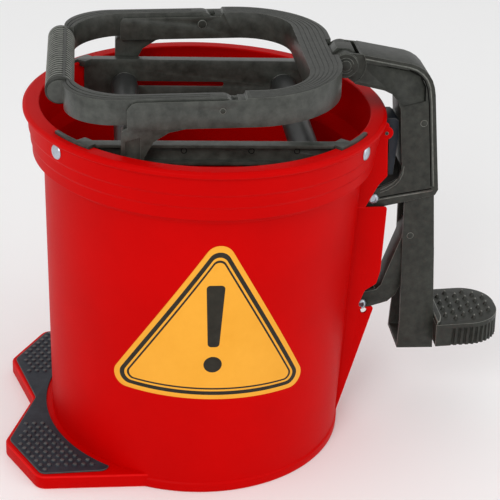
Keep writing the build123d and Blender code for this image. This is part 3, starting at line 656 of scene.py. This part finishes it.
def make_rivets():
    """Domed rivets through the rim and the crossbar ends."""
    profile = [
        (0, 138.7), (4.6, 138.7), (5, 139.2), (5, 140), (4.4, 140.4), (2.5, 140.4), (2.5, 150.5),
        (6.1, 150.5), (6.2, 150.9), (5.7, 151.6), (4.6, 152.2), (3, 152.6), (0, 152.75),
    ]
    heads = []
    for angle in RIVET_ANGLES:
        out = (cos(radians(angle)), sin(radians(angle)), 0)
        heads.append(lathe("rivet", profile, (0, 0, 299), out, 40))
    dress(joined("rim_rivets", heads), "base", "zinc_steel", ["crossbar_rivets"])


def make_rollers():
    """Plastic rollers with a slightly rounded end."""
    half = [(12, 90.2), (11.6, 91.5), (10.6, 92), (9, 92)]
    profile = [(radius, -y) for radius, y in reversed(half)] + half
    for name, (x, z) in (("fixed_roller", FIXED_ROLLER), ("moving_roller", MOVING_ROLLER)):
        roller = lathe(name + "_tube", profile, (x, 0, z), (0, 1, 0), 72)
        dress(roller, name + "_set", "roller_plastic", [name])


# ---- press loop and carry handle ---------------------------------------------------------------
def loop_path(start, end, half, radius):
    """Plan of a U: along one side, round two corners of the end, and back along the other side."""
    way = 1 if end > start else -1
    points = [Vector((start, -half))]
    for side in (-1, 1):
        for k in range(13):
            angle = pi / 2 * k / 12
            across, along = (cos(angle), sin(angle)) if side < 0 else (sin(angle), cos(angle))
            x = end - way * radius * (1 - along)
            points.append(Vector((x, side * (half - radius * (1 - across)))))
    return points + [Vector((start, half))]


def make_frame():
    """Sliding loop with legs for the moving roller, and long fine grooves along its top."""
    loop = soften(copy_of("press_frame"), 0.9)
    grooves = []
    for share in (0.16, 0.3, 0.44, 0.58, 0.72, 0.86):
        path = loop_path(25, 79.2 + 28.8 * share, 98.8 + 17.2 * share, 45 + 35 * share)
        grooves.append(tilted(prism("groove", ribbon(path, 0.5), PLAN, 357.35, 359)))
    merged("DIFFERENCE", loop, grooves)
    # Upward faces take plain black as painted shade on the top; the rest takes the lighter painted-lit
    # black.
    dress(painted_shade_top(loop), "frame", "black_plastic", ["press_frame"], look="painted_lit")


def make_handle():
    """Bail with two long grooves along its top."""
    bail = soften(copy_of("carry_handle"), 1.1)
    grooves = []
    for share in (0.35, 0.65):
        path = loop_path(-6, -113.5 - 6.5 * share, 101.5 + 11.7 * share, 48 - 6 * share)
        grooves.append(tilted(prism("groove", ribbon(path, 0.8), PLAN, 357.0, 359)))
    merged("DIFFERENCE", bail, grooves)
    # Upward faces take plain black as painted shade on the top; the rest takes the lighter painted-lit
    # black.
    dress(painted_shade_top(bail), "handle", "black_plastic", ["carry_handle"], look="painted_lit")


def make_grip():
    """Grip with fine ribs in two halves, offset by half a rib, with a smooth seam and smooth ends."""
    half, radius, ribs, depth, steps = 65, 11.6, 24, 2.0, 96
    end, end_step, core_radius = 3, 0.6, 6
    ribbed = 2 * half - 2 * end
    first_seam = radians(68)
    count = ribs * 10
    spokes = [2 * pi * k / steps for k in range(steps)]
    stations = [-half, -half + end_step]
    stations += [-half + end + ribbed * k / count for k in range(count + 1)]
    stations += [half - end_step, half]

    def surface_radius(y, angle):
        """Radius of the grip at a place along it and an angle round it."""
        if abs(y) > half - 0.3:
            return radius - end_step
        if abs(y) >= half - 3.2:
            return radius
        turn = (angle - first_seam) % (2 * pi)
        from_seam = min(abs((angle - first_seam + pi) % (2 * pi) - pi), abs(turn - pi))
        wave = 0.5 + 0.5 * cos(2 * pi * (y / ribbed * ribs + (0.5 if turn < pi else 0)))
        return radius - depth * (wave ** 1.5 if from_seam > radians(7) else 0.2)

    bm = bmesh.new()
    rows = [[(y, a, surface_radius(y, a)) for a in spokes] for y in stations]
    rows += [[(y, a, core_radius) for a in spokes] for y in (half, -half)]
    rings = []
    for row in rows:
        places = [(GRIP_CENTRE[0] + r * cos(a), y, GRIP_CENTRE[1] + r * sin(a)) for y, a, r in row]
        rings.append([bm.verts.new(place) for place in places])
    for i in range(len(rings)):
        for k in range(steps):
            face = bm.faces.new((rings[i - 1][k - 1], rings[i - 1][k], rings[i][k], rings[i][k - 1]))
            middle = face.calc_center_median()
            from_axis = hypot(middle.x - GRIP_CENTRE[0], middle.z - GRIP_CENTRE[1])
            # Rib crests take the painted highlight finish and rib valleys the painted shade finish.
            if abs(middle.y) < half - 3.2 and from_axis > radius - 0.25:
                face.material_index = 1
            elif abs(middle.y) < half - 3.2 and from_axis < radius - 0.8:
                face.material_index = 2
    grip = tilted(link_object("ribbed_grip", bm))
    dress(grip, "handle", "black_plastic", ["handle_grip"], sharp=50)


# ---- press arm and pedal linkage ---------------------------------------------------------------
def make_arm():
    """C-shaped arm with a sunk panel on each cheek and a ringed hub; shallow strips along its rims and round
    the hub carry a painted highlight, and grooves inside the rims carry painted shade.
    """
    arm = soften(copy_of("press_arm"), 0.7)
    panel = rounded([
        (128, 354.6), (171, 346.9), (180.5, 342.4), (185.6, 333), (186.6, 319.5), (166.9, 314.6),
        (162, 322.5), (152.5, 330.6), (124, 336.6),
    ], 3)
    outer_rim = [
        (131, 357.2), (170, 350), (176.6, 347.8), (182.4, 344), (186.8, 339), (190, 332), (192.6, 318),
        (202.4, 240),
    ]
    corner = [(155, 236.4), (159.4, 238.4), (165.4, 242.4), (168.6, 246), (170.6, 250.6), (171.4, 258)]
    outer_corner = [
        (155, 233.6), (161.4, 236.4), (168.2, 241.2), (171.6, 245.6), (173.6, 251.4), (174.2, 259),
    ]
    highlight_strips = [
        ribbon(outer_rim, 1.2),
        ribbon(ring(13.6, HUB, 60)[8:52], 0.8),
        ribbon(ring(10.2, HUB, 60)[2:56], 0.6),
        ribbon(ring(6.8, HUB, 60)[2:56], 0.6),
        ribbon([(152, 226.4), (172, 230.4), (202.2, 235.9)], 1.2),
        ribbon(corner, 0.8),
        ribbon(outer_corner, 0.8),
    ]
    inner_rim = [
        (170, 347.9), (175.4, 345.9), (180.6, 342.6), (184.6, 338), (187.6, 331), (190.4, 317), (200.2, 240),
    ]
    shades = [
        ribbon(inner_rim, 1.0),
        ribbon([(155, 229.2), (172, 232.6), (200.6, 237.8)], 1.0),
        ribbon([(186.4, 319.8), (185.4, 333), (180.3, 342.2), (171, 346.7), (150, 350.6)], 1.0),
    ]
    for side in (-1, 1):
        sunk = prism("panel", panel, SIDE, side * 18, side * 20)
        merged("DIFFERENCE", sunk, [prism("hub", ring(18.2, HUB, 72), SIDE, side * 17, side * 21)])
        # Shallow strips cut along the rims and round the hub, painted with the highlight finish.
        highlight_rims = [toned(prism("strip", strip, SIDE, side * 18.5, side * 20), 1) for strip in highlight_strips]
        merged("DIFFERENCE", arm, [sunk] + highlight_rims)
        # Grooves inside the rims, painted with the shade finish.
        grooves = [toned(prism("shade", shade, SIDE, side * 17.2, side * 20), 2) for shade in shades]
        merged("DIFFERENCE", arm, grooves)
    dress(arm, "arm", "black_plastic", ["press_arm"])


def make_bar():
    """Hollow bar that hangs from the arm and carries the pedal."""
    bar = soften(copy_of("pedal_bar"), 0.8)
    dress(bar, "bar", "black_plastic", ["pedal_bar"])


def make_pedal():
    """Foot pedal with pointed studs on top, a collar against the bar and a fluted lower edge."""
    start, end, top, tilt = 217, 280, 107, tan(radians(3.5))
    pedal = soften(copy_of("foot_pedal"), 1.0)
    studs = []
    for row, places in enumerate(((-18, -6, 6, 18), (-24, -12, 0, 12, 24)) * 3):
        x = 228.5 + 8.4 * row
        for y in places:
            if hypot(max(0, x - 250), y) < 26:
                studs.append(stud(x, y, top + (x - start) * tilt - 0.1, 2.4, 3.9, 0.4, 16))
    lip = [(217.2, -33), (220.4, -32, 3), (223.4, -22, 4), (223.4, 22, 4), (220.4, 32, 3), (217.2, 33)]
    collar = soften(prism("collar", rounded(lip), PLAN, 104, 110.4), 1.0)
    merged("UNION", pedal, [joined("studs", studs), collar])
    edge = divided(divided(loop_path(228, end, 34, 30), 5, 1), 0.1, 20)[:-20]
    flutes = []
    reach, last = 0.0, edge[0]
    for point in edge:
        reach += (point - last).length
        last = point
        if reach > 4.9:
            reach = 0.0
            flute_top = 102.5 + (point.x - start) * tilt
            flutes.append(prism("flute", ring(1.5, tuple(point), 12), PLAN, 70, flute_top))
    merged("DIFFERENCE", pedal, [joined("flutes", flutes)])
    dress(pedal, "bar", "black_plastic", ["foot_pedal"])


def make_bolts():
    """Pivot bolts with a domed head and a socket at each end."""
    for name, (x, z), start in (("arm_pivot_bolt", ARM_PIVOT, 19.1), ("link_pivot_bolt", LINK_PIVOT, 11.6)):
        end = start + 2.7
        half = [
            (3, start), (4.8, start), (5, start + 0.5), (4.6, start + 1.5), (3.6, end - 0.3), (2.4, end),
            (2.1, end - 1.1), (0, end - 1.2),
        ]
        profile = [(radius, -y) for radius, y in reversed(half)] + half
        bolt = lathe(name + "_turned", profile, (x, 0, z), (0, 1, 0), 40)
        dress(bolt, "base", "zinc_steel", [name])


def carry_over():
    """Softened copies of the remaining small nodes."""
    smalls = {
        "black_plastic": (
            ("lower_link", "link", 0.7),
            ("handle_pivot_pins", "frame", 0.4),
            ("hub_pin", "arm", 0.3),
            ("bar_top_pin", "arm", 0.3),
            ("bar_link_pin", "bar", 0.3),
            ("bumper_pin", "base", 0.3),
        ),
        "tread_rubber": (("stop_bumper", "base", 0.8),),
        "bush_nylon": (
            ("fixed_roller_bushes", "fixed_roller_set", 0.3),
            ("moving_roller_bushes", "moving_roller_set", 0.3),
            ("slide_washers", "frame", 0.2),
        ),
        "zinc_steel": (
            ("fixed_axle_nuts", "base", 0.25),
            ("moving_axle_nuts", "frame", 0.25),
            ("fixed_roller_axle", "base", 0.2),
            ("moving_roller_axle", "frame", 0.2),
            ("pedal_screws", "bar", 0.3),
        ),
    }
    for slot, rows in smalls.items():
        for node, body, width in rows:
            dress(soften(copy_of(node), width), body, slot, [node])
    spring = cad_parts["return_spring"]
    spring.data.materials.clear()
    spring.data.materials.append(ZINC)


add_camera()
add_studio()
make_pail()
make_toes()
make_spine()
make_tread()
make_sticker()
make_crossbars()
make_rivets()
make_rollers()
make_frame()
make_handle()
make_grip()
make_arm()
make_bar()
make_pedal()
make_bolts()
carry_over()
